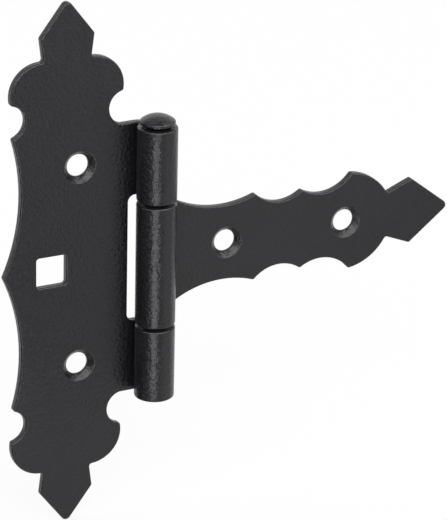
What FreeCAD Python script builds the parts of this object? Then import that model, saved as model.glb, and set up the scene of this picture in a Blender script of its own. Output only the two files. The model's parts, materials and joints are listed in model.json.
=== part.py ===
import FreeCAD
import Part
import math
import os
import Sketcher

# Ornamental T hinge in powder-coated sheet steel: a tall post leaf, a strap leaf
# that swings on it, and one headed pin. Millimetres, +Z up, +X along the strap.
# The backs of both leaves lie in the plane Y = 0 and the fronts face -Y. Each
# piece is drawn about the pin's line (X = 0 in its sketches) and then moved so
# that the part's origin is halfway between the two screw holes of the post leaf.

SIZES = (
    # The sheet
    ("sheet_thickness", 2.5, "sheet steel of both leaves"),
    ("rim_break", 0.3, "broken edges of the punched sheet"),
    ("corner_round", 0.8, "small corners of both outlines"),
    ("tip_round", 1.6, "points of the three spearheads"),
    # The barrel
    ("pin_diameter", 6.9, "shank of the pin"),
    ("pin_clearance", 0.05, "running clearance round the shank"),
    ("barrel_length", 85.4, "over both outer knuckles"),
    ("barrel_lift", 2.1, "back of the barrel in front of the backs of the leaves"),
    ("middle_knuckle_length", 38.1, "rolled knuckle of the strap"),
    ("knuckle_gap", 0.95, "between one knuckle and the next"),
    ("curl_gap", 0.5, "from the end of each curl to its leaf"),
    ("bend_angle", 25.0, "degrees that each leaf bends forward to its knuckle"),
    ("bend_radius", 1.5, "inside that bend"),
    # The head of the pin
    ("head_diameter", 10.5, "rim of the head"),
    ("head_taper", 1.05, "height of the taper under the head"),
    ("head_rim", 0.8, "height of the head's rim"),
    ("head_dome", 1.9, "height of the dome above the rim"),
    ("pin_end_chamfer", 0.6, "lower end of the pin"),
    # The post leaf, from the barrel's end up to the point of a spearhead
    ("spear_from_pin", 25.9, "centre line of the spearheads to the pin"),
    ("scallop_width", 34.5, "across the lower corners of the scallops"),
    ("scallop_rise", 10.3, "height of a scallop"),
    ("scallop_depth", 4.2, "how far a scallop bites in"),
    ("lobe_width", 35.2, "across the lower corners of the lobes"),
    ("lobe_rise", 11.7, "height of a lobe"),
    ("lobe_swell", 3.8, "how far a lobe swells beyond its chord"),
    ("neck_width", 15.0, "under the spearhead"),
    ("barb_rise", 7.1, "from the neck to the spearhead's corners"),
    ("spear_width", 16.8, "across the spearhead's corners"),
    ("spear_rise", 11.0, "from the spearhead's corners to its sharp point"),
    ("waist_from_pin", 46.0, "cusp at mid-height on the outer edge"),
    ("waist_depth", 3.95, "how far the outer edge is hollowed"),
    ("slot_clearance", 0.4, "the slot's edge beyond the knuckle's side"),
    ("slot_round", 2.2, "inner corners of the slot"),
    # The strap leaf, from its root out to its point
    ("root_length", 0.9, "full width of the strap beyond its bend"),
    ("hollow_from_pin", 35.6, "cusp at the end of the long hollow"),
    ("hollow_depth", 4.2, "how far the long hollow bites in"),
    ("hollow_cusp_width", 27.8, "across both such cusps"),
    ("first_bite_length", 15.7, "cusp to cusp along the strap"),
    ("first_bite_depth", 3.05, "how far the first bite goes in"),
    ("bite_cusp_width", 25.4, "across both cusps between the bites"),
    ("second_bite_length", 16.8, "from there to the bulb"),
    ("second_bite_depth", 3.4, "how far the second bite goes in"),
    ("bulb_width", 31.1, "across the bulb's corners"),
    ("bulb_length", 12.6, "from those corners to the notch"),
    ("bulb_swell", 1.85, "how far its shoulders swell beyond their chords"),
    ("notch_width", 14.3, "across both notches"),
    ("barb_length", 8.4, "from the notch to the strap's spearhead corners"),
    ("arrow_width", 21.1, "across those corners"),
    ("arrow_length", 13.5, "from those corners to the sharp point"),
    # The fixing holes
    ("hole_diameter", 6.8, "screw holes"),
    ("countersink_diameter", 10.2, "mouth of each screw hole"),
    ("countersink_angle", 90.0, "degrees"),
    ("post_hole_from_pin", 22.0, "both screw holes of the post leaf"),
    ("post_hole_spacing", 62.8, "between them"),
    ("strap_hole_from_pin", 26.2, "nearer screw hole of the strap"),
    ("strap_hole_spacing", 40.3, "between the strap's two"),
    ("square_hole_side", 9.4, "hole for a bolt with a square neck"),
    ("square_hole_from_pin", 30.9, "its centre"),
    ("square_hole_round", 0.85, "its corners"),
)

BARREL_RADIUS = "(Sizes.pin_diameter / 2 + Sizes.pin_clearance + Sizes.sheet_thickness)"
AXIS_DEPTH = f"({BARREL_RADIUS} + Sizes.barrel_lift)"
SLOT_HEIGHT = "(Sizes.middle_knuckle_length + 2 * Sizes.knuckle_gap)"
BEND = "(Sizes.bend_angle * 1 deg)"
RISE = f"(Sizes.barrel_lift - {BARREL_RADIUS} * (1 / cos({BEND}) - 1))"
BEND_RUN = f"((Sizes.bend_radius + Sizes.sheet_thickness) * tan({BEND} / 2))"
BEND_FROM_PIN = f"({RISE} / tan({BEND}) + {BEND_RUN})"
# The points of a line or an arc, as a sketch counts them
START, END, CENTRE = range(1, 4)
# A sketch's own origin, horizontal axis and vertical axis
ORIGIN = (-1, 1)
ACROSS = -1
UP = -2
LEFT = 1
RIGHT = -1
TINY = 1e-4


def make_sheet(doc):
    """Write the driving dimensions to the spreadsheet, each under its own name."""
    sheet = doc.addObject("Spreadsheet::Sheet", "Sizes")
    for row, (name, value, meaning) in enumerate(SIZES, start=1):
        sheet.set(f"A{row}", meaning)
        sheet.set(f"B{row}", str(value))
        sheet.setAlias(f"B{row}", name)
    doc.recompute()
    return sheet


def barrel_radius(size):
    """Give the outer radius of the barrel."""
    return size["pin_diameter"] / 2 + size["pin_clearance"] + size["sheet_thickness"]


def bend_from_pin(size):
    """Give how far from the pin each leaf starts to bend forward to its knuckle."""
    bend = math.radians(size["bend_angle"])
    rise = size["barrel_lift"] - barrel_radius(size) * (1 / math.cos(bend) - 1)
    run = (size["bend_radius"] + size["sheet_thickness"]) * math.tan(bend / 2)
    return rise / math.tan(bend) + run


def make_body(doc, label):
    """Start a body that is drawn about the pin's line and placed in the part's frame."""
    body = doc.addObject("PartDesign::Body", label)
    body.Label = label
    body.setExpression("Placement.Base.x", "Sizes.post_hole_from_pin")
    return body


def origin_plane(body, role):
    """Find one of the body's own origin planes."""
    return next(plane for plane in body.Origin.OriginFeatures if plane.Role == role)


def make_sketch(body, name, role, offset=None):
    """Attach a new sketch to an origin plane, raised along its normal by an offset."""
    sketch = body.newObject("Sketcher::SketchObject", name)
    sketch.AttachmentSupport = (origin_plane(body, role), [""])
    sketch.MapMode = "FlatFace"
    if offset:
        sketch.setExpression("AttachmentOffset.Base.z", offset)
    body.Document.recompute()
    return sketch


def point(across, up):
    """Give a point of a sketch."""
    return FreeCAD.Vector(across, up, 0)


def constrain(sketch, kind, *where):
    """Add a constraint that has no size."""
    sketch.addConstraint(Sketcher.Constraint(kind, *where))


def dimension(sketch, kind, where, value, formula):
    """Add a dimension and bind it to a formula of the spreadsheet."""
    index = sketch.addConstraint(Sketcher.Constraint(kind, *where, value))
    sketch.setExpression(f"Constraints[{index}]", formula)


def add_line(sketch, start, end):
    """Draw a straight side. The answer is its ends in the order of travel."""
    side = sketch.addGeometry(Part.LineSegment(start, end))
    return (side, START), (side, END)


def add_arc(sketch, start, end, depth, swell, formula):
    """Draw a round side whose crown stands off its chord by a bound depth.

    It swells to the LEFT or the RIGHT of the way from start to end. The answer is
    its ends in the order of travel, because a sketch keeps every arc anticlockwise.
    """
    chord = end - start
    middle = (start + end) * 0.5
    outward = point(-chord.y, chord.x).normalize() * swell
    radius = (chord.Length ** 2 / 4 + depth ** 2) / (2 * depth)
    crown = middle + outward * depth
    centre = crown - outward * radius
    first, last = (start, end) if swell == RIGHT else (end, start)
    first_angle = math.atan2(first.y - centre.y, first.x - centre.x)
    last_angle = math.atan2(last.y - centre.y, last.x - centre.x)
    if last_angle < first_angle:
        last_angle += 2 * math.pi
    circle = Part.Circle(centre, FreeCAD.Vector(0, 0, 1), radius)
    side = sketch.addGeometry(Part.ArcOfCircle(circle, first_angle, last_angle))
    stem = sketch.addGeometry(Part.LineSegment(middle, crown), True)
    constrain(sketch, "Symmetric", side, START, side, END, stem, START)
    constrain(sketch, "PointOnObject", stem, END, side)
    constrain(sketch, "PointOnObject", side, CENTRE, stem)
    dimension(sketch, "Distance", (stem,), depth, formula)
    ends = (side, START), (side, END)
    return ends if swell == RIGHT else ends[::-1]


def draw_outline(sketch, corners, arcs, size):
    """Join the corners into a closed loop and give, for each corner, its sketch point.

    arcs maps the number of a side to the name of its depth and the way it swells.
    """
    sides = []
    for number, start in enumerate(corners):
        end = corners[(number + 1) % len(corners)]
        if number in arcs:
            name, swell = arcs[number]
            side = add_arc(sketch, start, end, size[name], swell, f"Sizes.{name}")
        else:
            side = add_line(sketch, start, end)
        sides.append(side)
    for number, (start, end) in enumerate(sides):
        following = sides[(number + 1) % len(sides)]
        constrain(sketch, "Coincident", *end, *following[0])
    return [start for start, end in sides]


def add_pad(body, name, sketch, length, centred=False):
    """Raise a sketch into the body."""
    pad = body.newObject("PartDesign::Pad", name)
    pad.Profile = sketch
    pad.Midplane = centred
    pad.setExpression("Length", length)
    body.Document.recompute()
    return pad


def add_pocket(body, name, sketch):
    """Cut a sketch on the back plane through the sheet."""
    before = body.Shape.Volume
    pocket = body.newObject("PartDesign::Pocket", name)
    pocket.Profile = sketch
    pocket.Reversed = True
    pocket.setExpression("Length", "Sizes.sheet_thickness")
    body.Document.recompute()
    if body.Shape.Volume > before - TINY:
        raise RuntimeError(f"{name} cuts nothing")
    return pocket


def add_mirror(body, name, features):
    """Repeat features below the plane of mid-height."""
    mirror = body.newObject("PartDesign::Mirrored", name)
    mirror.Originals = features
    mirror.MirrorPlane = (origin_plane(body, "XY_Plane"), [""])
    body.Tip = mirror
    body.Document.recompute()
    return mirror


def add_fillet(body, name, wanted, radius):
    """Round the edges of the body's last feature that the test picks."""
    base = body.Tip
    picked = [f"Edge{number}" for number, edge in enumerate(base.Shape.Edges, start=1) if wanted(edge)]
    fillet = body.newObject("PartDesign::Fillet", name)
    fillet.Base = (base, picked)
    fillet.setExpression("Radius", radius)
    body.Document.recompute()
    return fillet


def crosses_sheet(edge):
    """Tell whether an edge runs straight through the sheet, from front to back."""
    first = edge.Vertexes[0].Point
    last = edge.Vertexes[-1].Point
    sideways = math.hypot(last.x - first.x, last.z - first.z)
    return sideways < TINY and abs(last.y - first.y) > TINY


def round_outline(body, special):
    """Round the corners of a leaf's outline.

    special maps a feature's name to the test that picks its corners and to their
    radius; every other corner gets the small one.
    """
    tests = [test for test, radius in special.values()]

    def is_plain(edge):
        return crosses_sheet(edge) and not any(test(edge.Vertexes[0]) for test in tests)

    add_fillet(body, "RoundedCorners", is_plain, "Sizes.corner_round")
    for name, (test, radius) in special.items():
        add_fillet(body, name, lambda edge: crosses_sheet(edge) and test(edge.Vertexes[0]), radius)


def soften_rims(body, size):
    """Break every edge where the front or the back of the sheet meets its cut rim."""
    levels = (0.0, -size["sheet_thickness"])

    def is_rim(edge):
        depths = [vertex.Y for vertex in edge.Vertexes]
        return any(all(abs(depth - level) < TINY for depth in depths) for level in levels)

    base = body.Tip
    picked = [f"Edge{number}" for number, edge in enumerate(base.Shape.Edges, start=1) if is_rim(edge)]
    rims = body.newObject("PartDesign::Chamfer", "SoftRims")
    rims.Base = (base, picked)
    rims.setExpression("Size", "Sizes.rim_break")
    body.Document.recompute()


def bend_ends(root, side):
    """Give the leaf's root and the pin's line in the order of +X."""
    return (root, START, *ORIGIN) if side == RIGHT else (*ORIGIN, root, START)


def draw_curl(body, name, size, side, offset=None):
    """Draw the section of a knuckle, from the leaf's bend up its slope and round the pin.

    side is RIGHT for a knuckle that its leaf reaches towards +X, as on the post
    leaf, and LEFT for the strap's.
    """
    thickness = size["sheet_thickness"]
    outer = barrel_radius(size)
    inner = outer - thickness
    bend = math.radians(size["bend_angle"])
    tight = size["bend_radius"]
    wide = tight + thickness
    start = side * bend_from_pin(size)
    centre = point(0, -outer - size["barrel_lift"])
    bend_centre = point(start, -wide)
    root_angle = math.pi / 2 + side * bend
    end_angle = root_angle - side * math.acos((inner - size["curl_gap"]) / outer)
    to_slope = point(math.cos(root_angle), math.sin(root_angle))
    to_end = point(math.cos(end_angle), math.sin(end_angle))
    turn = (end_angle, root_angle + 2 * math.pi) if side == RIGHT else (root_angle, end_angle + 2 * math.pi)
    small_turn = (root_angle, math.pi / 2) if side == RIGHT else (math.pi / 2, root_angle)
    at_slope, at_end = (END, START) if side == RIGHT else (START, END)
    at_bend, at_leaf = (START, END) if side == RIGHT else (END, START)
    sketch = make_sketch(body, name, "XY_Plane", offset)
    draw = sketch.addGeometry
    upright = FreeCAD.Vector(0, 0, 1)
    root = draw(Part.LineSegment(point(start, 0), point(start, -thickness)))
    end = draw(Part.LineSegment(centre + to_end * inner, centre + to_end * outer))
    faces = []
    for barrel_size, bend_size in ((outer, wide), (inner, tight)):
        barrel = draw(Part.ArcOfCircle(Part.Circle(centre, upright, barrel_size), *turn))
        bent = draw(Part.ArcOfCircle(Part.Circle(bend_centre, upright, bend_size), *small_turn))
        slope_start = bend_centre + to_slope * bend_size
        slope_end = centre + to_slope * barrel_size
        slope = draw(Part.LineSegment(slope_start, slope_end))
        constrain(sketch, "Tangent", slope, START, bent, at_bend)
        constrain(sketch, "Tangent", slope, END, barrel, at_slope)
        faces.append((barrel, bent, slope))
    (back_barrel, back_bend, back_slope), (bore, front_bend, front_slope) = faces
    constrain(sketch, "PointOnObject", root, START, ACROSS)
    constrain(sketch, "Vertical", root)
    constrain(sketch, "Coincident", root, START, back_bend, at_leaf)
    constrain(sketch, "Coincident", root, END, front_bend, at_leaf)
    constrain(sketch, "Coincident", end, START, bore, at_end)
    constrain(sketch, "Coincident", end, END, back_barrel, at_end)
    constrain(sketch, "Coincident", back_bend, CENTRE, front_bend, CENTRE)
    constrain(sketch, "Vertical", root, START, back_bend, CENTRE)
    constrain(sketch, "Coincident", bore, CENTRE, back_barrel, CENTRE)
    constrain(sketch, "PointOnObject", bore, CENTRE, UP)
    constrain(sketch, "PointOnObject", bore, CENTRE, end)
    constrain(sketch, "Parallel", back_slope, front_slope)
    dimension(sketch, "Distance", (root,), thickness, "Sizes.sheet_thickness")
    dimension(sketch, "Radius", (front_bend,), tight, "Sizes.bend_radius")
    dimension(sketch, "Radius", (back_barrel,), outer, BARREL_RADIUS)
    dimension(sketch, "DistanceY", (bore, CENTRE, *ORIGIN), -centre.y, AXIS_DEPTH)
    dimension(sketch, "DistanceX", bend_ends(root, side), abs(start), BEND_FROM_PIN)
    dimension(sketch, "Distance", (end, END, front_slope), size["curl_gap"], "Sizes.curl_gap")
    return sketch


def draw_post_outline(body, size):
    """Draw the upper half of the post leaf, anticlockwise from its bend at mid-height."""
    line = -size["spear_from_pin"]
    widths = ("scallop_width", "lobe_width", "neck_width", "spear_width")
    rises = ("scallop_rise", "lobe_rise", "barb_rise", "spear_rise")
    shoulder = size["barrel_length"] / 2
    heights = [shoulder + sum(size[rise] for rise in rises[:count]) for count in range(len(widths) + 1)]
    right = [point(line + size[width] / 2, height) for width, height in zip(widths, heights)]
    left = [point(line - size[width] / 2, height) for width, height in zip(widths, heights)][::-1]
    tip = point(line, heights[-1])
    waist = point(-size["waist_from_pin"], 0)
    bend = -bend_from_pin(size)
    corners = [point(bend, 0), point(bend, shoulder), *right, tip, *left, waist]
    arcs = {
        2: ("scallop_depth", LEFT),
        3: ("lobe_swell", RIGHT),
        8: ("lobe_swell", RIGHT),
        9: ("scallop_depth", LEFT),
        10: ("waist_depth", LEFT),
    }
    sketch = make_sketch(body, "LeafOutline", "XZ_Plane")
    places = draw_outline(sketch, corners, arcs, size)
    root, root_top = places[0], places[1]
    right_places = places[2:6]
    left_places = places[7:11][::-1]
    middle = sketch.addGeometry(Part.LineSegment(point(line, 0), tip), True)
    constrain(sketch, "Vertical", middle)
    constrain(sketch, "PointOnObject", middle, START, ACROSS)
    constrain(sketch, "Coincident", middle, END, *places[6])
    constrain(sketch, "PointOnObject", *root, ACROSS)
    constrain(sketch, "Vertical", *root, *root_top)
    constrain(sketch, "PointOnObject", *places[11], ACROSS)
    constrain(sketch, "Horizontal", *root_top, *right_places[0])
    for right_place, left_place in zip(right_places, left_places):
        constrain(sketch, "Symmetric", *right_place, *left_place, middle)
    dimension(sketch, "DistanceX", (*root, *ORIGIN), -bend, BEND_FROM_PIN)
    dimension(sketch, "DistanceX", (middle, START, *ORIGIN), -line, "Sizes.spear_from_pin")
    dimension(sketch, "DistanceX", (*places[11], *ORIGIN), -waist.x, "Sizes.waist_from_pin")
    dimension(sketch, "DistanceY", (*root, *root_top), shoulder, "Sizes.barrel_length / 2")
    for place, partner, width in zip(right_places, left_places, widths):
        dimension(sketch, "DistanceX", (*partner, *place), size[width], f"Sizes.{width}")
    for lower, upper, rise in zip(right_places, places[3:7], rises):
        dimension(sketch, "DistanceY", (*lower, *upper), size[rise], f"Sizes.{rise}")
    return sketch


def draw_slot(body, size):
    """Draw the slot that the strap's knuckle turns in, open towards the barrel."""
    height = size["middle_knuckle_length"] + 2 * size["knuckle_gap"]
    edge = barrel_radius(size) + size["slot_clearance"]
    low, high = -height / 2, height / 2
    corners = [point(-edge, low), point(0, low), point(0, high), point(-edge, high)]
    sketch = make_sketch(body, "SlotOutline", "XZ_Plane")
    places = draw_outline(sketch, corners, {}, size)
    constrain(sketch, "Horizontal", 0)
    constrain(sketch, "Horizontal", 2)
    constrain(sketch, "Vertical", 3)
    constrain(sketch, "Symmetric", *places[1], *places[2], *ORIGIN)
    constrain(sketch, "PointOnObject", *places[1], UP)
    dimension(sketch, "DistanceY", (*places[0], *places[3]), height, SLOT_HEIGHT)
    dimension(sketch, "DistanceX", (*places[0], *places[1]), edge, f"{BARREL_RADIUS} + Sizes.slot_clearance")
    return sketch


def draw_square_hole(body, size):
    """Draw the square hole at mid-height of the post leaf."""
    side = size["square_hole_side"]
    line = -size["square_hole_from_pin"]
    left, right = line - side / 2, line + side / 2
    low, high = -side / 2, side / 2
    corners = [point(left, low), point(right, low), point(right, high), point(left, high)]
    sketch = make_sketch(body, "SquareHoleOutline", "XZ_Plane")
    places = draw_outline(sketch, corners, {}, size)
    middle = sketch.addGeometry(Part.Point(point(line, 0)), True)
    bottom_side, right_side, top_side, left_side = range(len(corners))
    for level in (bottom_side, top_side):
        constrain(sketch, "Horizontal", level)
    for upright in (right_side, left_side):
        constrain(sketch, "Vertical", upright)
    constrain(sketch, "Equal", bottom_side, right_side)
    constrain(sketch, "Symmetric", *places[0], *places[2], middle, START)
    constrain(sketch, "PointOnObject", middle, START, ACROSS)
    dimension(sketch, "Distance", (bottom_side,), side, "Sizes.square_hole_side")
    dimension(sketch, "DistanceX", (middle, START, *ORIGIN), -line, "Sizes.square_hole_from_pin")
    return sketch


def add_screw_holes(body, size, centres, bind_centres):
    """Sink the countersunk screw holes from the front face of a leaf."""
    sketch = make_sketch(body, "ScrewHoleCentres", "XZ_Plane", "Sizes.sheet_thickness")
    radius = size["hole_diameter"] / 2
    for centre in centres:
        circle = sketch.addGeometry(Part.Circle(centre, FreeCAD.Vector(0, 0, 1), radius))
        dimension(sketch, "Radius", (circle,), radius, "Sizes.hole_diameter / 2")
    bind_centres(sketch)
    body.Document.recompute()
    before = body.Shape.Volume
    hole = body.newObject("PartDesign::Hole", "ScrewHoles")
    hole.Profile = sketch
    hole.DepthType = "ThroughAll"
    hole.HoleCutType = "Countersink"
    hole.HoleCutCustomValues = True
    hole.setExpression("Diameter", "Sizes.hole_diameter")
    hole.setExpression("HoleCutDiameter", "Sizes.countersink_diameter")
    hole.setExpression("HoleCutCountersinkAngle", "Sizes.countersink_angle")
    body.Document.recompute()
    if body.Shape.Volume > before - TINY:
        raise RuntimeError(f"{body.Label}: the screw holes cut nothing")


def make_post_leaf(doc, size):
    """Make the tall leaf: an ornamental sheet rolled into two knuckles round a slot."""
    body = make_body(doc, "post_leaf")
    plate = add_pad(body, "HalfLeaf", draw_post_outline(body, size), "Sizes.sheet_thickness")
    curl = draw_curl(body, "CurlSection", size, RIGHT, f"{SLOT_HEIGHT} / 2")
    knuckle = add_pad(body, "UpperKnuckle", curl, f"(Sizes.barrel_length - {SLOT_HEIGHT}) / 2")
    add_mirror(body, "LowerHalf", [plate, knuckle])
    add_pocket(body, "Slot", draw_slot(body, size))
    stages = ("scallop_rise", "lobe_rise", "barb_rise")
    tip_level = size["barrel_length"] / 2 + sum(size[rise] for rise in stages) + size["spear_rise"] / 2
    slot_half = size["middle_knuckle_length"] / 2 + size["knuckle_gap"] + TINY

    def in_slot(corner):
        return corner.X > -size["spear_from_pin"] and abs(corner.Z) < slot_half

    round_outline(
        body,
        {
            "RoundedTips": (lambda corner: abs(corner.Z) > tip_level, "Sizes.tip_round"),
            "SlotCorners": (in_slot, "Sizes.slot_round"),
        },
    )
    add_pocket(body, "SquareHole", draw_square_hole(body, size))
    half = size["square_hole_side"] / 2 + TINY

    def in_square(edge):
        corner = edge.Vertexes[0]
        across = abs(corner.X + size["square_hole_from_pin"])
        return crosses_sheet(edge) and across < half and abs(corner.Z) < half

    add_fillet(body, "SquareCorners", in_square, "Sizes.square_hole_round")
    soften_rims(body, size)

    def bind_centres(sketch):
        spacing = size["post_hole_spacing"]
        from_pin = size["post_hole_from_pin"]
        constrain(sketch, "Symmetric", 0, CENTRE, 1, CENTRE, ACROSS)
        dimension(sketch, "DistanceY", (0, CENTRE, 1, CENTRE), spacing, "Sizes.post_hole_spacing")
        dimension(sketch, "DistanceX", (0, CENTRE, *ORIGIN), from_pin, "Sizes.post_hole_from_pin")

    line = -size["post_hole_from_pin"]
    half_spacing = size["post_hole_spacing"] / 2
    add_screw_holes(body, size, [point(line, -half_spacing), point(line, half_spacing)], bind_centres)
    return body


def draw_strap_outline(body, size):
    """Draw the upper half of the strap, anticlockwise from its bend at mid-height."""
    bend = bend_from_pin(size)
    lengths = ("first_bite_length", "second_bite_length", "bulb_length", "barb_length", "arrow_length")
    widths = ("hollow_cusp_width", "bite_cusp_width", "bulb_width", "notch_width", "arrow_width", None)
    corners = [point(bend, 0)]
    for count, width in reversed(list(enumerate(widths))):
        along = size["hollow_from_pin"] + sum(size[length] for length in lengths[:count])
        corners.append(point(along, size[width] / 2 if width else 0))
    half_root = size["middle_knuckle_length"] / 2
    corners += [point(bend + size["root_length"], half_root), point(bend, half_root)]
    arcs = {
        3: ("bulb_swell", RIGHT),
        4: ("second_bite_depth", LEFT),
        5: ("first_bite_depth", LEFT),
        6: ("hollow_depth", LEFT),
    }
    sketch = make_sketch(body, "StrapOutline", "XZ_Plane")
    places = draw_outline(sketch, corners, arcs, size)
    bend_place, tip, *shaped, root_end, root = places
    stations = [*reversed(shaped), tip]
    constrain(sketch, "PointOnObject", *bend_place, ACROSS)
    constrain(sketch, "PointOnObject", *tip, ACROSS)
    constrain(sketch, "Vertical", *bend_place, *root)
    constrain(sketch, "Horizontal", *root, *root_end)
    dimension(sketch, "DistanceX", (*ORIGIN, *bend_place), bend, BEND_FROM_PIN)
    dimension(sketch, "DistanceX", (*root, *root_end), size["root_length"], "Sizes.root_length")
    dimension(sketch, "DistanceY", (*bend_place, *root), half_root, "Sizes.middle_knuckle_length / 2")
    dimension(sketch, "DistanceX", (*ORIGIN, *stations[0]), size["hollow_from_pin"], "Sizes.hollow_from_pin")
    for near, far, length in zip(stations, stations[1:], lengths):
        dimension(sketch, "DistanceX", (*near, *far), size[length], f"Sizes.{length}")
    for place, width in zip(stations, widths[:-1]):
        dimension(sketch, "DistanceY", (*ORIGIN, *place), size[width] / 2, f"Sizes.{width} / 2")
    return sketch


def make_strap_leaf(doc, size):
    """Make the swinging leaf: a shaped strap rolled into the middle knuckle."""
    body = make_body(doc, "strap_leaf")
    plate = add_pad(body, "HalfStrap", draw_strap_outline(body, size), "Sizes.sheet_thickness")
    add_mirror(body, "LowerHalf", [plate])
    curl = draw_curl(body, "CurlSection", size, LEFT)
    add_pad(body, "MiddleKnuckle", curl, "Sizes.middle_knuckle_length", centred=True)
    lengths = ("first_bite_length", "second_bite_length", "bulb_length", "barb_length")
    arrow_start = size["hollow_from_pin"] + sum(size[length] for length in lengths)
    tip_start = arrow_start + size["arrow_length"] / 2
    round_outline(body, {"RoundedTip": (lambda corner: corner.X > tip_start, "Sizes.tip_round")})
    soften_rims(body, size)

    def bind_centres(sketch):
        near = size["strap_hole_from_pin"]
        spacing = size["strap_hole_spacing"]
        for circle in (0, 1):
            constrain(sketch, "PointOnObject", circle, CENTRE, ACROSS)
        dimension(sketch, "DistanceX", (*ORIGIN, 0, CENTRE), near, "Sizes.strap_hole_from_pin")
        dimension(sketch, "DistanceX", (0, CENTRE, 1, CENTRE), spacing, "Sizes.strap_hole_spacing")

    near = size["strap_hole_from_pin"]
    far = near + size["strap_hole_spacing"]
    add_screw_holes(body, size, [point(near, 0), point(far, 0)], bind_centres)
    return body


def make_pin(doc, size):
    """Turn the pin: a plain shank, a taper that seats in the top knuckle, a domed head."""
    body = make_body(doc, "hinge_pin")
    body.setExpression("Placement.Base.y", f"-{AXIS_DEPTH}")
    shank = size["pin_diameter"] / 2
    head = size["head_diameter"] / 2
    top = size["barrel_length"] / 2
    rim_low = top + size["head_taper"]
    rim_high = rim_low + size["head_rim"]
    crown = rim_high + size["head_dome"]
    dome = (head ** 2 + size["head_dome"] ** 2) / (2 * size["head_dome"])
    rim_angle = math.asin((dome - size["head_dome"]) / dome)
    sketch = make_sketch(body, "PinSection", "XZ_Plane")
    corners = [
        point(0, -top), point(shank, -top), point(shank, top), point(head, rim_low), point(head, rim_high),
    ]
    for start, end in zip(corners, corners[1:]):
        sketch.addGeometry(Part.LineSegment(start, end))
    circle = Part.Circle(point(0, crown - dome), FreeCAD.Vector(0, 0, 1), dome)
    arc = sketch.addGeometry(Part.ArcOfCircle(circle, rim_angle, math.pi / 2))
    axis = sketch.addGeometry(Part.LineSegment(point(0, crown), point(0, -top)))
    for side in range(arc + 1):
        constrain(sketch, "Coincident", side, END, side + 1, START)
    constrain(sketch, "Coincident", axis, END, 0, START)
    constrain(sketch, "PointOnObject", 0, START, UP)
    constrain(sketch, "Vertical", axis)
    constrain(sketch, "Horizontal", 0)
    constrain(sketch, "Vertical", 1)
    constrain(sketch, "Vertical", 3)
    constrain(sketch, "PointOnObject", arc, CENTRE, UP)
    dimension(sketch, "DistanceX", (0, START, 0, END), shank, "Sizes.pin_diameter / 2")
    dimension(sketch, "DistanceX", (*ORIGIN, 3, START), head, "Sizes.head_diameter / 2")
    dimension(sketch, "DistanceY", (1, START, *ORIGIN), top, "Sizes.barrel_length / 2")
    dimension(sketch, "DistanceY", (*ORIGIN, 1, END), top, "Sizes.barrel_length / 2")
    dimension(sketch, "DistanceY", (2, START, 2, END), size["head_taper"], "Sizes.head_taper")
    dimension(sketch, "DistanceY", (3, START, 3, END), size["head_rim"], "Sizes.head_rim")
    dimension(sketch, "DistanceY", (arc, START, arc, END), size["head_dome"], "Sizes.head_dome")
    turned = body.newObject("PartDesign::Revolution", "TurnedPin")
    turned.Profile = sketch
    turned.ReferenceAxis = (sketch, ["V_Axis"])
    turned.Angle = 360
    doc.recompute()
    lower_end = [
        f"Edge{number}"
        for number, edge in enumerate(turned.Shape.Edges, start=1)
        if all(abs(vertex.Z + top) < TINY and abs(vertex.X - shank) < TINY for vertex in edge.Vertexes)
    ]
    chamfer = body.newObject("PartDesign::Chamfer", "LowerEnd")
    chamfer.Base = (turned, lower_end)
    chamfer.setExpression("Size", "Sizes.pin_end_chamfer")
    doc.recompute()
    return body


def check(doc, pieces):
    """Stop with a plain message if any object or shape of the document is bad."""
    for item in doc.Objects:
        if {"Invalid", "Error"} & set(item.State):
            raise RuntimeError(f"{item.Label} has failed: {item.State}")
    for piece in pieces:
        shape = piece.Shape
        if shape.isNull() or not shape.isValid() or len(shape.Solids) != 1:
            raise RuntimeError(f"{piece.Label} isn't one valid solid")


def main():
    """Build the hinge and write each piece to its own STEP file."""
    doc = FreeCAD.newDocument("OrnamentalHinge")
    sheet = make_sheet(doc)
    size = {name: float(sheet.get(name)) for name, value, meaning in SIZES}
    pieces = (make_post_leaf(doc, size), make_strap_leaf(doc, size), make_pin(doc, size))
    doc.recompute()
    check(doc, pieces)
    os.makedirs("parts", exist_ok=True)
    for piece in pieces:
        piece.Shape.exportStep(f"parts/{piece.Label}.step")
        box = piece.Shape.BoundBox
        print(piece.Label, round(piece.Shape.Volume, 1), box)


main()
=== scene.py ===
import functools
import json
import math

import bmesh
import bpy
from bpy.props import FloatProperty, FloatVectorProperty, IntProperty, PointerProperty
from mathutils import Matrix, Vector


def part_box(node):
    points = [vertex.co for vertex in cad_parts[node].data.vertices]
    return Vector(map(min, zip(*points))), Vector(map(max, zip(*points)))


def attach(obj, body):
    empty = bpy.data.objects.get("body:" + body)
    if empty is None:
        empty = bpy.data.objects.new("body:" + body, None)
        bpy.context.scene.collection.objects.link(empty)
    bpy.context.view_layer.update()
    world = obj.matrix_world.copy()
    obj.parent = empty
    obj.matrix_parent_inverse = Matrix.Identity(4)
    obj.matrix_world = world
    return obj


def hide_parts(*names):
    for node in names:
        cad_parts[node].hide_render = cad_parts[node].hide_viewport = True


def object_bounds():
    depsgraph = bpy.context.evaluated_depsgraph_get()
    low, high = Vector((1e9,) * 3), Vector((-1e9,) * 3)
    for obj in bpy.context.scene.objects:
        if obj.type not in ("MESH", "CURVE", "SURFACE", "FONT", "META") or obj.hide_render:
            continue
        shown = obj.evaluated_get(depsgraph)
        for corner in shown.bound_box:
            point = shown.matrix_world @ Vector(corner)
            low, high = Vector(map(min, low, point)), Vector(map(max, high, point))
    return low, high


bl_info = {
    "name": "Ornamental T Hinge",
    "version": (1, 0, 0),
    "blender": (4, 5, 0),
    "location": "View3D > Sidebar > Hinge",
    "description": "Dresses a black ornamental T hinge and sets it in a pale studio",
    "category": "Object",
}

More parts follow.
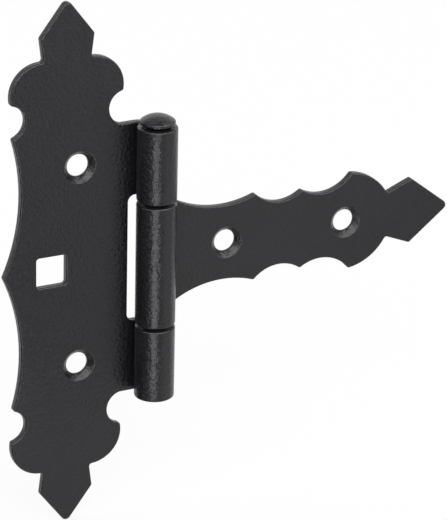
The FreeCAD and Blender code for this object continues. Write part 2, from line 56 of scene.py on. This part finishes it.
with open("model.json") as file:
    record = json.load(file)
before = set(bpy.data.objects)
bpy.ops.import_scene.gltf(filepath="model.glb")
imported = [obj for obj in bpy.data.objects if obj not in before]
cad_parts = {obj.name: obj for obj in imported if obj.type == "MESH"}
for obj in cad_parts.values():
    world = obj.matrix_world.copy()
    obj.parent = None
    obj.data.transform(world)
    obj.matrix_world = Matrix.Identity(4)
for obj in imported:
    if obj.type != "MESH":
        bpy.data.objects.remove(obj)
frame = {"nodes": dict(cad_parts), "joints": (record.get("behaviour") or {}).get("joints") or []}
CAD_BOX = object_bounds()
PIN_AXIS = Vector(frame["joints"][0]["pos_m"])
FLOOR_LEVEL = CAD_BOX[0].z

# The coat: how its four patterns scale with the grain and mix. Each stop of the ramp is a place and
# a share of the colour
COAT_IOR = 1.45
COAT_SHINE = 0.5
# The weaker gloss of the coat on the walls, the flat ends and the bore, which paints the shade on
# them
PAINTED_SHADE_SHINE = 0.24
CLOUDS_PER_METRE = 90.0
PEBBLES_PER_GRAIN = 0.8
SPECKLES_PER_GRAIN = 2.0
SPECKLE_TINT = 0.75
SPECKLE_RELIEF = 0.15
GLOSS_SPREAD = 0.05
TINT_RAMP = ((0.3, 0.4), (0.7, 1.6))

# The leaves: the sheet that they are cut from, and what tells a sheared wall from its two faces
SHEET = 0.0025
WALL_SLACK = 0.0001
BORE_REACH = 0.0042
FACING_UP = 0.95
FACING_SIDEWAYS = 0.3
COAT_SLOT = 0
WALL_SLOT = 1

# The meshes: distances under which points are one, the steps that round a rim, and the rings of the
# pin below its dome
CAD_MERGE = 1e-6
PIN_MERGE = 1e-5
FLAT_ANGLE = math.radians(0.3)
RIM_SEGMENTS = 3
STRAIGHT_RINGS = 5

# The stage: lengths in metres, power in watts, and the camera's sensor in millimetres
FLOOR_SIDES = 96
FLOOR_GLOW = 0.85
LAMP_PLACE = Vector((-0.5, -1.2, 0.9))
LAMP_TARGET = Vector((0.03, 0.0, 0.0))
LAMP_SIDE = 0.8
LAMP_POWER = 6.0
SENSOR_WIDTH = 36.0
NEAREST_SEEN = 0.01
FARTHEST_SEEN = 20.0

# The cards that the coat mirrors, each named as its brightness is in the settings. A fan lies round
# the pin between two azimuths and two reaches. A dome hangs round the hinge between two azimuths
# and two elevations. Angles are in degrees, and azimuths start from the front of the hinge
CARD_STEPS = 12
FAN_LIFT = 0.001
DOME_RADIUS = 0.7
FANS = (
    ("front_reflector", (-40.0, -17.0), (0.085, 0.5)),
    ("left_flag", (-105.0, -53.0), (0.07, 0.6)),
    ("right_flag", (-6.0, 12.0), (0.085, 0.5)),
    ("side_flag", (58.0, 76.0), (0.085, 0.4)),
)
DOMES = (
    ("top_reflector", (-70.0, 65.0), (20.0, 59.0)),
    ("back_reflector", (125.0, 185.0), (12.0, 40.0)),
    ("top_flag", (-100.0, 100.0), (64.0, 95.0)),
)

# The named inputs of the tree that turns the pin
PIN_INPUTS = {
    "Axis": "NodeSocketVector",
    "Foot": "NodeSocketFloat",
    "Top": "NodeSocketFloat",
    "Shank diameter": "NodeSocketFloat",
    "Head diameter": "NodeSocketFloat",
    "Foot chamfer": "NodeSocketFloat",
    "Head taper": "NodeSocketFloat",
    "Head rim": "NodeSocketFloat",
    "Head dome": "NodeSocketFloat",
    "Sides": "NodeSocketInt",
    "Dome rings": "NodeSocketInt",
    "Material": "NodeSocketMaterial",
}


# Sizes, colours and brightnesses that a user would change


class HingeCoatSettings(bpy.types.PropertyGroup):
    """The black, fine-textured powder coat"""

    leaf_colour: FloatVectorProperty(
        name="Leaf colour",
        description="Colour of the coat on the two leaves",
        subtype="COLOR",
        size=3,
        min=0.0,
        max=1.0,
        default=(0.0056, 0.005, 0.0074),
    )
    # Painted shade: this paler base goes with a much weaker gloss on the walls, flat ends and bore,
    # which darkens them
    shaded_wall_colour: FloatVectorProperty(
        name="Wall colour",
        description="Colour of the thinner, paler coat on the sheared walls of the leaves",
        subtype="COLOR",
        size=3,
        min=0.0,
        max=1.0,
        default=(0.021, 0.02, 0.024),
    )
    pin_colour: FloatVectorProperty(
        name="Pin colour",
        description="Colour of the coat on the pin",
        subtype="COLOR",
        size=3,
        min=0.0,
        max=1.0,
        default=(0.0064, 0.0058, 0.0082),
    )
    roughness: FloatProperty(
        name="Roughness",
        description="How wide the gloss of the coat spreads",
        subtype="FACTOR",
        min=0.0,
        max=1.0,
        default=0.3,
    )
    grain_size: FloatProperty(
        name="Grain size",
        description="Width of one grain of the coat",
        subtype="DISTANCE",
        unit="LENGTH",
        min=0.0001,
        default=0.0008,
    )
    grain_depth: FloatProperty(
        name="Grain depth",
        description="Height of the grains",
        subtype="DISTANCE",
        unit="LENGTH",
        min=0.0,
        default=0.00012,
    )


class HingeLeafSettings(bpy.types.PropertyGroup):
    """How the coat rounds the rims of the leaves"""

    rim_softness: FloatProperty(
        name="Rim softness",
        description="Width that the coat rounds on each side of a rim",
        subtype="DISTANCE",
        unit="LENGTH",
        min=0.0,
        default=0.00019,
    )
    rim_angle: FloatProperty(
        name="Rim angle",
        description="Edges sharper than this angle are rims",
        subtype="ANGLE",
        unit="ROTATION",
        default=math.radians(32),
    )


class HingePinSettings(bpy.types.PropertyGroup):
    """The turned pin with its low domed head"""

    shank_diameter: FloatProperty(
        name="Shank diameter",
        description="Diameter of the pin inside the knuckles",
        subtype="DISTANCE",
        unit="LENGTH",
        default=0.0069,
    )
    head_taper: FloatProperty(
        name="Head taper",
        description="Height of the cone under the head",
        subtype="DISTANCE",
        unit="LENGTH",
        default=0.00095,
    )
    head_rim: FloatProperty(
        name="Head rim",
        description="Height of the straight rim of the head",
        subtype="DISTANCE",
        unit="LENGTH",
        default=0.0008,
    )
    head_dome: FloatProperty(
        name="Head dome",
        description="Height of the dome above the rim",
        subtype="DISTANCE",
        unit="LENGTH",
        default=0.002,
    )
    foot_chamfer: FloatProperty(
        name="Foot chamfer",
        description="Width of the chamfer at the foot of the pin",
        subtype="DISTANCE",
        unit="LENGTH",
        default=0.0006,
    )
    rim_softness: FloatProperty(
        name="Rim softness",
        description="Width that the coat rounds on each side of the pin's rims",
        subtype="DISTANCE",
        unit="LENGTH",
        min=0.0,
        default=0.0002,
    )
    turns: IntProperty(
        name="Sides",
        description="Number of sides round the pin",
        min=12,
        default=96,
    )
    dome_rings: IntProperty(
        name="Dome rings",
        description="Number of rings on the dome",
        min=3,
        default=14,
    )


class HingeStageSettings(bpy.types.PropertyGroup):
    """The pale floor, the soft light and the camera"""

    floor_radius: FloatProperty(
        name="Floor radius",
        description="Radius of the round floor",
        subtype="DISTANCE",
        unit="LENGTH",
        default=4.0,
    )
    floor_colour: FloatVectorProperty(
        name="Floor colour",
        description="Colour of the floor",
        subtype="COLOR",
        size=3,
        min=0.0,
        max=1.0,
        default=(0.9, 0.9, 0.9),
    )
    front_reflector: FloatProperty(
        name="Front reflector",
        description="Brightness of the card that lights the middle of the barrel",
        min=0.0,
        default=4.8,
    )
    top_reflector: FloatProperty(
        name="Top reflector",
        description="Brightness of the card above that lights the upper rims",
        min=0.0,
        default=4.4,
    )
    back_reflector: FloatProperty(
        name="Back reflector",
        description="Brightness of the card behind that lights the tops of the walls",
        min=0.0,
        default=1.4,
    )
    top_flag: FloatProperty(
        name="Top flag",
        description="Brightness of the dark card above the top reflector",
        min=0.0,
        default=0.2,
    )
    left_flag: FloatProperty(
        name="Left flag",
        description="Brightness of the dark card to the left of the barrel",
        min=0.0,
        default=0.08,
    )
    right_flag: FloatProperty(
        name="Right flag",
        description="Brightness of the dark card to the right of the front reflector",
        min=0.0,
        default=0.12,
    )
    side_flag: FloatProperty(
        name="Side flag",
        description="Brightness of the grey card to the right of the barrel",
        min=0.0,
        default=0.55,
    )
    camera_place: FloatVectorProperty(
        name="Camera place",
        description="Where the camera stands",
        subtype="TRANSLATION",
        unit="LENGTH",
        size=3,
        default=(-0.37569, -0.82944, 0.38327),
    )
    camera_azimuth: FloatProperty(
        name="Camera azimuth",
        description="Angle of the camera round the hinge",
        subtype="ANGLE",
        unit="ROTATION",
        default=math.radians(-27.0842),
    )
    camera_elevation: FloatProperty(
        name="Camera elevation",
        description="Angle of the camera above the floor",
        subtype="ANGLE",
        unit="ROTATION",
        default=math.radians(22.7176),
    )
    camera_roll: FloatProperty(
        name="Camera roll",
        description="Turn of the camera about its own line of sight",
        subtype="ANGLE",
        unit="ROTATION",
        default=math.radians(1.3196),
    )
    camera_lens: FloatProperty(
        name="Camera lens",
        description="Focal length in millimetres on a 36 mm frame",
        min=1.0,
        default=233.26,
    )


# Node trees


def cleared_tree(owner):
    """Turns the nodes of a material or a world on and returns its emptied tree."""
    owner.use_nodes = True
    owner.node_tree.nodes.clear()
    return owner.node_tree


def add_node(tree, kind, place, label="", **inputs):
    """Adds one node at a place in the editor and sets those of its inputs that are plain values."""
    node = tree.nodes.new(kind)
    node.location = place
    node.label = label
    for name, value in inputs.items():
        node.inputs[name.replace("_", " ")].default_value = value
    return node


def add_math(tree, operation, place, *terms):
    """Adds one Math node, takes numbers and sockets as its terms, and returns its result."""
    node = add_node(tree, "ShaderNodeMath", place)
    node.operation = operation
    for socket, term in zip(node.inputs, terms):
        if isinstance(term, (int, float)):
            socket.default_value = term
        else:
            tree.links.new(term, socket)
    return node.outputs[0]


def powder_coat(name, colour, settings, shine=COAT_SHINE):
    """Powder coat: a fine pebbled grain in the gloss, with clouds and speckles in the colour."""
    material = bpy.data.materials.new(name)
    material.diffuse_color = (*colour, 1.0)
    tree = cleared_tree(material)
    link = tree.links.new
    calc = functools.partial(add_math, tree)

    output = add_node(tree, "ShaderNodeOutputMaterial", (900, 0))
    coat = add_node(tree, "ShaderNodeBsdfPrincipled", (600, 0), IOR=COAT_IOR)
    coat.inputs["Specular IOR Level"].default_value = shine
    link(coat.outputs["BSDF"], output.inputs["Surface"])

    # Four patterns on the piece's own coordinates
    clouds = add_node(tree, "ShaderNodeTexNoise", (-800, 300), "Clouds", Detail=3.0)
    clouds.inputs["Scale"].default_value = CLOUDS_PER_METRE
    grain = add_node(tree, "ShaderNodeTexNoise", (-800, 0), "Grain", Detail=2.0, Roughness=0.55)
    grain.inputs["Scale"].default_value = 1.0 / settings.grain_size
    pebbles = add_node(tree, "ShaderNodeTexVoronoi", (-800, -300), "Pebbles")
    pebbles.feature = "SMOOTH_F1"
    pebbles.inputs["Scale"].default_value = PEBBLES_PER_GRAIN / settings.grain_size
    speckles = add_node(tree, "ShaderNodeTexNoise", (-800, 550), "Speckles", Detail=1.0)
    speckles.inputs["Scale"].default_value = SPECKLES_PER_GRAIN / settings.grain_size
    place = add_node(tree, "ShaderNodeTexCoord", (-1100, 0)).outputs["Object"]
    for texture in (clouds, speckles, grain, pebbles):
        link(place, texture.inputs["Vector"])

    # The colour, from the speckles and the clouds
    cloud_part = calc("MULTIPLY", (-650, 400), clouds.outputs["Fac"], 1.0 - SPECKLE_TINT)
    mix = calc("MULTIPLY_ADD", (-650, 250), speckles.outputs["Fac"], SPECKLE_TINT, cloud_part)
    tint = add_node(tree, "ShaderNodeValToRGB", (-500, 300), "Tint")
    for stop, (position, share) in zip(tint.color_ramp.elements, TINT_RAMP):
        stop.position = position
        stop.color = (*(share * part for part in colour), 1.0)
    link(mix, tint.inputs["Fac"])
    link(tint.outputs["Color"], coat.inputs["Base Color"])

    # The gloss, rougher on the tops of the grains
    gloss = add_node(tree, "ShaderNodeMapRange", (-500, 50), "Gloss")
    gloss.inputs["To Min"].default_value = settings.roughness - GLOSS_SPREAD
    gloss.inputs["To Max"].default_value = settings.roughness + GLOSS_SPREAD
    link(grain.outputs["Fac"], gloss.inputs["Value"])
    link(gloss.outputs["Result"], coat.inputs["Roughness"])

    # The relief, from the grain with a part of the speckles, less the pebbles
    grain_height = grain.outputs["Fac"]
    rough_height = calc(
        "MULTIPLY_ADD", (-650, -150), speckles.outputs["Fac"], SPECKLE_RELIEF, grain_height
    )
    height = calc("SUBTRACT", (-500, -250), rough_height, pebbles.outputs["Distance"])
    bump = add_node(tree, "ShaderNodeBump", (-200, -250), "Grain relief", Strength=1.0)
    bump.inputs["Distance"].default_value = settings.grain_depth
    link(height, bump.inputs["Height"])
    link(bump.outputs["Normal"], coat.inputs["Normal"])
    return material


def pick_by_ring(tree, place, ring, values):
    """Picks one of several numbers by the number of the ring."""
    switch = add_node(tree, "GeometryNodeIndexSwitch", place)
    switch.data_type = "FLOAT"
    while len(switch.index_switch_items) < len(values):
        switch.index_switch_items.new()
    tree.links.new(ring, switch.inputs[0])
    for socket, value in zip(switch.inputs[1:], values):
        if isinstance(value, float):
            socket.default_value = value
        else:
            tree.links.new(value, socket)
    return switch.outputs[0]


def turned_pin_tree():
    """Builds the node tree that turns a pin: a grid whose rows become rings from foot to pole."""
    tree = bpy.data.node_groups.new("Turned pin", "GeometryNodeTree")
    for name, kind in PIN_INPUTS.items():
        tree.interface.new_socket(name, in_out="INPUT", socket_type=kind)
    tree.interface.new_socket("Geometry", in_out="OUTPUT", socket_type="NodeSocketGeometry")
    size = add_node(tree, "NodeGroupInput", (-1600, 0)).outputs
    link = tree.links.new
    calc = functools.partial(add_math, tree)

    # One row of the grid for each ring, and one column more than there are sides
    columns = calc("ADD", (-1300, 500), size["Sides"], 1.0)
    rows = calc("ADD", (-1300, 350), size["Dome rings"], STRAIGHT_RINGS + 1.0)
    grid = add_node(tree, "GeometryNodeMeshGrid", (-1000, 500))
    link(rows, grid.inputs["Vertices X"])
    link(columns, grid.inputs["Vertices Y"])
    index = add_node(tree, "GeometryNodeInputIndex", (-1300, 200)).outputs[0]
    ring = calc("FLOOR", (-900, 200), calc("DIVIDE", (-1100, 200), index, columns))
    side = calc("MODULO", (-1100, 50), index, columns)
    turn = calc("DIVIDE", (-900, 50), side, size["Sides"])
    angle = calc("MULTIPLY", (-700, 50), turn, math.tau)

    # The dome is the cap of a ball, and its rings lean in from the rim to the pole
    shank = calc("MULTIPLY", (-1300, -100), size["Shank diameter"], 0.5)
    head = calc("MULTIPLY", (-1300, -250), size["Head diameter"], 0.5)
    dome = size["Head dome"]
    head_square = calc("MULTIPLY", (-1100, -250), head, head)
    dome_square = calc("MULTIPLY", (-1100, -400), dome, dome)
    squares = calc("ADD", (-900, -250), head_square, dome_square)
    dome_twice = calc("MULTIPLY", (-900, -400), dome, 2.0)
    ball = calc("DIVIDE", (-700, -250), squares, dome_twice)
    widest = calc("ARCSINE", (-300, -250), calc("DIVIDE", (-500, -250), head, ball))
    climbed = calc("SUBTRACT", (-700, -550), ring, float(STRAIGHT_RINGS))
    climbed_share = calc("DIVIDE", (-500, -550), climbed, size["Dome rings"])
    share_left = calc("SUBTRACT", (-300, -550), 1.0, climbed_share)
    lean = calc("MULTIPLY", (-100, -400), widest, share_left)
    cap_radius = calc("MULTIPLY", (300, -250), ball, calc("SINE", (100, -250), lean))
    rise = calc("MULTIPLY", (300, -400), ball, calc("COSINE", (100, -400), lean))
    ball_centre = calc("SUBTRACT", (300, -550), size["Top"], ball)
    cap_level = calc("ADD", (500, -400), ball_centre, rise)

    # The straight rings below it: the foot's pole, its chamfer, the shank, the taper and the rim
    chamfer_radius = calc("SUBTRACT", (-100, -700), shank, size["Foot chamfer"])
    chamfer_level = calc("ADD", (-100, -850), size["Foot"], size["Foot chamfer"])
    rim_top = calc("SUBTRACT", (-300, -1000), size["Top"], dome)
    rim_foot = calc("SUBTRACT", (-100, -1000), rim_top, size["Head rim"])
    taper_foot = calc("SUBTRACT", (100, -1000), rim_foot, size["Head taper"])
    which = calc("MINIMUM", (500, 100), ring, float(STRAIGHT_RINGS))
    radii = (0.0, chamfer_radius, shank, shank, head, cap_radius)
    levels = (size["Foot"], size["Foot"], chamfer_level, taper_foot, rim_foot, cap_level)
    radius = pick_by_ring(tree, (700, -100), which, radii)
    level = pick_by_ring(tree, (700, -400), which, levels)

    point = add_node(tree, "ShaderNodeCombineXYZ", (1300, 0))
    cosine = calc("COSINE", (900, 300), angle)
    sine = calc("SINE", (900, 150), angle)
    link(calc("MULTIPLY", (1100, 300), cosine, radius), point.inputs["X"])
    link(calc("MULTIPLY", (1100, 150), sine, radius), point.inputs["Y"])
    link(level, point.inputs["Z"])
    on_axis = add_node(tree, "ShaderNodeVectorMath", (1500, 0))
    link(point.outputs[0], on_axis.inputs[0])
    link(size["Axis"], on_axis.inputs[1])

    turned = add_node(tree, "GeometryNodeSetPosition", (1700, 200))
    link(grid.outputs["Mesh"], turned.inputs["Geometry"])
    link(on_axis.outputs[0], turned.inputs["Position"])
    outward = add_node(tree, "GeometryNodeFlipFaces", (1800, 200))
    link(turned.outputs[0], outward.inputs[0])
    closed = add_node(tree, "GeometryNodeMergeByDistance", (1900, 200), Distance=PIN_MERGE)
    link(outward.outputs[0], closed.inputs["Geometry"])
    plain = add_node(tree, "GeometryNodeRealizeInstances", (2100, 200))
    link(closed.outputs[0], plain.inputs["Geometry"])
    coated = add_node(tree, "GeometryNodeSetMaterial", (2300, 200))
    link(plain.outputs[0], coated.inputs["Geometry"])
    link(size["Material"], coated.inputs["Material"])
    output = add_node(tree, "NodeGroupOutput", (2500, 200))
    link(coated.outputs[0], output.inputs["Geometry"])
    return tree


# Meshes


def new_piece(name, mesh, *materials):
    """Makes an object at the origin from a finished mesh with its materials."""
    mesh.name = name
    mesh.materials.clear()
    for material in materials:
        mesh.materials.append(material)
    piece = bpy.data.objects.new(name, mesh)
    bpy.context.scene.collection.objects.link(piece)
    return piece


def bake(piece):
    """Turns a piece's modifiers into plain mesh and takes them off."""
    depsgraph = bpy.context.evaluated_depsgraph_get()
    mesh = bpy.data.meshes.new_from_object(piece.evaluated_get(depsgraph))
    if not mesh.polygons:
        raise RuntimeError(f"{piece.name} came out empty")
    old_mesh = piece.data
    piece.modifiers.clear()
    piece.data = mesh
    bpy.data.meshes.remove(old_mesh)
    mesh.name = piece.name


def soften_rims(piece, width, angle):
    """Rounds every rim of a piece as a thick coat does, and keeps its flat faces looking flat."""
    for face in piece.data.polygons:
        face.use_smooth = True
    bevel = piece.modifiers.new("Soft rims", "BEVEL")
    bevel.width = width
    bevel.segments = RIM_SEGMENTS
    bevel.limit_method = "ANGLE"
    bevel.angle_limit = angle
    bevel.use_clamp_overlap = False
    bevel.material = COAT_SLOT
    flat = piece.modifiers.new("Flat faces", "WEIGHTED_NORMAL")
    flat.mode = "FACE_AREA"
    bake(piece)


def sheet_copy(node):
    """Copies a CAD node's mesh, joins its triangles and clears the lines across its flat faces."""
    mesh = frame["nodes"][node].data.copy()
    sheet = bmesh.new()
    sheet.from_mesh(mesh)
    bmesh.ops.remove_doubles(sheet, verts=sheet.verts, dist=CAD_MERGE)
    bmesh.ops.dissolve_limit(
        sheet,
        angle_limit=FLAT_ANGLE,
        verts=sheet.verts,
        edges=sheet.edges,
        use_dissolve_boundaries=False,
    )
    if not sheet.faces or any(not edge.is_manifold for edge in sheet.edges):
        raise RuntimeError(f"the copy of {node} isn't a closed skin")
    sheet.to_mesh(mesh)
    sheet.free()
    return mesh


def mark_walls(mesh):
    """Gives the sheared walls of a punched sheet their own slot, whose duller coat paints shade on
    them: outline, holes, ends and bore.
    """
    for face in mesh.polygons:
        across = abs(face.normal.z) > FACING_UP
        in_sheet = -SHEET - WALL_SLACK < face.center.y < WALL_SLACK
        sideways = abs(face.normal.y) < FACING_SIDEWAYS
        in_bore = (face.center.xy - PIN_AXIS.xy).length < BORE_REACH
        if across or (in_sheet and sideways) or in_bore:
            face.material_index = WALL_SLOT


def turned_by_nodes(name, tree, values):
    """Runs a tree on an empty mesh with its inputs set by name, and keeps a plain piece."""
    piece = new_piece(name, bpy.data.meshes.new(name))
    modifier = piece.modifiers.new(tree.name, "NODES")
    modifier.node_group = tree
    for item in tree.interface.items_tree:
        if item.in_out == "INPUT":
            modifier[item.identifier] = values[item.name]
    bake(piece)
    # The tree's mesh has an empty slot before its own, so every face moves to one slot
    for face in piece.data.polygons:
        face.material_index = COAT_SLOT
    piece.data.materials.clear()
    piece.data.materials.append(values["Material"])
    return piece


# Stage


def towards(azimuth, elevation=0.0):
    """The direction at an azimuth from the front of the hinge and an elevation, both in radians."""
    flat = math.cos(elevation)
    return Vector((math.sin(azimuth) * flat, -math.cos(azimuth) * flat, math.sin(elevation)))


def angle_steps(first, last):
    """Evenly spaced angles in radians from the first to the last, which are given in degrees."""
    return [
        math.radians(first + (last - first) * step / CARD_STEPS) for step in range(CARD_STEPS + 1)
    ]


def fan_rows(azimuths, reaches):
    """The points of a fan-shaped card that lies on the floor round the pin."""
    centre = Vector((PIN_AXIS.x, PIN_AXIS.y, FLOOR_LEVEL + FAN_LIFT))
    return [
        [centre + towards(azimuth) * reach for reach in reaches]
        for azimuth in angle_steps(*azimuths)
    ]


def dome_rows(azimuths, elevations):
    """The points of a curved card that hangs round the hinge."""
    return [
        [towards(azimuth, elevation) * DOME_RADIUS for elevation in angle_steps(*elevations)]
        for azimuth in angle_steps(*azimuths)
    ]


def add_card(name, rows, brightness):
    """Makes a glowing card from rows of points, which shows only in the gloss of the coat."""
    skin = bmesh.new()
    grid = [[skin.verts.new(point) for point in row] for row in rows]
    for row, next_row in zip(grid, grid[1:]):
        for low, high, next_low, next_high in zip(row, row[1:], next_row, next_row[1:]):
            skin.faces.new((low, high, next_high, next_low))
    mesh = bpy.data.meshes.new(name)
    skin.to_mesh(mesh)
    skin.free()
    material = bpy.data.materials.new(name)
    tree = cleared_tree(material)
    output = add_node(tree, "ShaderNodeOutputMaterial", (300, 0))
    glow = add_node(tree, "ShaderNodeEmission", (0, 0), Strength=brightness)
    tree.links.new(glow.outputs["Emission"], output.inputs["Surface"])
    card = new_piece(name, mesh, material)
    card.visible_camera = False
    card.visible_diffuse = False
    card.visible_transmission = False
    card.visible_shadow = False


def add_lamp(scene):
    """Adds the soft square lamp, which looks at the hinge and isn't seen itself."""
    light = bpy.data.lights.new("key_lamp", "AREA")
    light.shape = "SQUARE"
    light.size = LAMP_SIDE
    light.energy = LAMP_POWER
    lamp = bpy.data.objects.new("key_lamp", light)
    lamp.location = LAMP_PLACE
    lamp.rotation_euler = (LAMP_TARGET - LAMP_PLACE).to_track_quat("-Z", "Y").to_euler()
    lamp.visible_camera = False
    scene.collection.objects.link(lamp)


def floor_paint(colour):
    """Matt paint that also glows, but only as the camera and the gloss of the coat see it."""
    material = bpy.data.materials.new("pale_floor")
    tree = cleared_tree(material)
    link = tree.links.new
    output = add_node(tree, "ShaderNodeOutputMaterial", (600, 0))
    paint = add_node(tree, "ShaderNodeBsdfDiffuse", (0, 0), Color=(*colour, 1.0))
    glow = add_node(tree, "ShaderNodeEmission", (0, -200), Strength=1.0)
    ray = add_node(tree, "ShaderNodeLightPath", (-800, 200)).outputs
    mirrored = add_math(
        tree, "MAXIMUM", (-600, 100), ray["Is Glossy Ray"], ray["Is Transmission Ray"]
    )
    shown = add_math(tree, "MAXIMUM", (-400, 200), ray["Is Camera Ray"], mirrored)
    share = add_math(tree, "MULTIPLY", (-200, 200), shown, FLOOR_GLOW)
    mix = add_node(tree, "ShaderNodeMixShader", (300, 0))
    link(share, mix.inputs["Fac"])
    link(paint.outputs["BSDF"], mix.inputs[1])
    link(glow.outputs["Emission"], mix.inputs[2])
    link(mix.outputs["Shader"], output.inputs["Surface"])
    return material


def lay_floor(stage):
    """Lays a round floor under the lowest point of the hinge."""
    skin = bmesh.new()
    bmesh.ops.create_circle(skin, cap_ends=True, segments=FLOOR_SIDES, radius=stage.floor_radius)
    bmesh.ops.translate(skin, verts=skin.verts, vec=(0.0, 0.0, FLOOR_LEVEL))
    mesh = bpy.data.meshes.new("floor")
    skin.to_mesh(mesh)
    skin.free()
    floor = new_piece("floor", mesh, floor_paint(stage.floor_colour))


def light_world(scene):
    """Surrounds the hinge with an even white light."""
    world = bpy.data.worlds.new("pale_room")
    tree = cleared_tree(world)
    output = add_node(tree, "ShaderNodeOutputWorld", (300, 0))
    sky = add_node(tree, "ShaderNodeBackground", (0, 0), Strength=1.0)
    sky.inputs["Color"].default_value = (1.0, 1.0, 1.0, 1.0)
    tree.links.new(sky.outputs["Background"], output.inputs["Surface"])
    scene.world = world


def stand_camera(scene, stage):
    """Stands the camera where the photograph was taken from."""
    azimuth = stage.camera_azimuth
    back = towards(azimuth, stage.camera_elevation)
    right = Vector((math.cos(azimuth), math.sin(azimuth), 0.0))
    level = Matrix((right, back.cross(right), back)).transposed()
    rolled = level @ Matrix.Rotation(stage.camera_roll, 3, "Z")
    view = bpy.data.cameras.new("photo_camera")
    view.lens = stage.camera_lens
    view.sensor_width = SENSOR_WIDTH
    view.clip_start = NEAREST_SEEN
    view.clip_end = FARTHEST_SEEN
    camera = bpy.data.objects.new("photo_camera", view)
    camera.matrix_world = Matrix.Translation(stage.camera_place) @ rolled.to_4x4()
    scene.collection.objects.link(camera)
    scene.camera = camera


# Operators


class HINGE_OT_leaves(bpy.types.Operator):
    """Dress the post leaf and the strap leaf in their black coat"""

    bl_idname = "hinge.leaves"
    bl_label = "Dress the Leaves"

    def execute(self, context):
        leaf = context.scene.hinge_leaf
        coat = context.scene.hinge_coat
        black = powder_coat("black_powder_coat", coat.leaf_colour, coat)
        # The second coat paints shade: its weaker gloss darkens the walls, the flat ends and the
        # bore
        painted_shade_coat = powder_coat(
            "painted_shade_wall_coat", coat.shaded_wall_colour, coat, shine=PAINTED_SHADE_SHINE
        )
        for node, body in (("post_leaf", "post"), ("strap_leaf", "strap")):
            piece = new_piece(f"{node}_coated", sheet_copy(node), black, painted_shade_coat)
            mark_walls(piece.data)
            soften_rims(piece, leaf.rim_softness, leaf.rim_angle)
            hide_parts(node)
            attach(piece, body)
        return {"FINISHED"}


class HINGE_OT_pin(bpy.types.Operator):
    """Turn the hinge pin with its low domed head"""

    bl_idname = "hinge.pin"
    bl_label = "Turn the Pin"

    def execute(self, context):
        leaf = context.scene.hinge_leaf
        pin = context.scene.hinge_pin
        coat = context.scene.hinge_coat
        low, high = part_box("hinge_pin")
        sizes = {
            "Axis": (PIN_AXIS.x, PIN_AXIS.y, 0.0),
            "Foot": low[2],
            "Top": high[2],
            "Shank diameter": pin.shank_diameter,
            "Head diameter": high[0] - low[0],
            "Foot chamfer": pin.foot_chamfer,
            "Head taper": pin.head_taper,
            "Head rim": pin.head_rim,
            "Head dome": pin.head_dome,
            "Sides": pin.turns,
            "Dome rings": pin.dome_rings,
            "Material": powder_coat("pin_powder_coat", coat.pin_colour, coat),
        }
        piece = turned_by_nodes("hinge_pin_coated", turned_pin_tree(), sizes)
        soften_rims(piece, pin.rim_softness, leaf.rim_angle)
        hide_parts("hinge_pin")
        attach(piece, "post")
        return {"FINISHED"}


class HINGE_OT_stage(bpy.types.Operator):
    """Lay the pale floor, set the soft light and stand the camera"""

    bl_idname = "hinge.stage"
    bl_label = "Set the Stage"

    def execute(self, context):
        scene = context.scene
        stage = scene.hinge_stage
        lay_floor(stage)
        light_world(scene)
        add_lamp(scene)
        for name, azimuths, reaches in FANS:
            add_card(name, fan_rows(azimuths, reaches), getattr(stage, name))
        for name, azimuths, elevations in DOMES:
            add_card(name, dome_rows(azimuths, elevations), getattr(stage, name))
        stand_camera(scene, stage)
        scene.view_settings.view_transform = "Standard"
        return {"FINISHED"}


class HINGE_PT_panel(bpy.types.Panel):
    """Sizes, colours and steps of the hinge"""

    bl_idname = "HINGE_PT_panel"
    bl_label = "Ornamental T Hinge"
    bl_space_type = "VIEW_3D"
    bl_region_type = "UI"
    bl_category = "Hinge"

    def draw(self, context):
        for group in SETTINGS:
            settings = getattr(context.scene, group)
            for name in settings.bl_rna.properties.keys():
                if name not in ("rna_type", "name"):
                    self.layout.prop(settings, name)
        for step in OPERATORS:
            self.layout.operator(step.bl_idname)


SETTINGS = {
    "hinge_coat": HingeCoatSettings,
    "hinge_leaf": HingeLeafSettings,
    "hinge_pin": HingePinSettings,
    "hinge_stage": HingeStageSettings,
}
OPERATORS = (HINGE_OT_leaves, HINGE_OT_pin, HINGE_OT_stage)


def register():
    for name, settings in SETTINGS.items():
        bpy.utils.register_class(settings)
        setattr(bpy.types.Scene, name, PointerProperty(type=settings))
    for step in OPERATORS:
        bpy.utils.register_class(step)
    bpy.utils.register_class(HINGE_PT_panel)


def unregister():
    bpy.utils.unregister_class(HINGE_PT_panel)
    for step in reversed(OPERATORS):
        bpy.utils.unregister_class(step)
    for name, settings in SETTINGS.items():
        delattr(bpy.types.Scene, name)
        bpy.utils.unregister_class(settings)


def main():
    """Builds the whole scene."""
    register()
    bpy.ops.hinge.leaves()
    bpy.ops.hinge.pin()
    bpy.ops.hinge.stage()


if __name__ == "__main__":
    main()
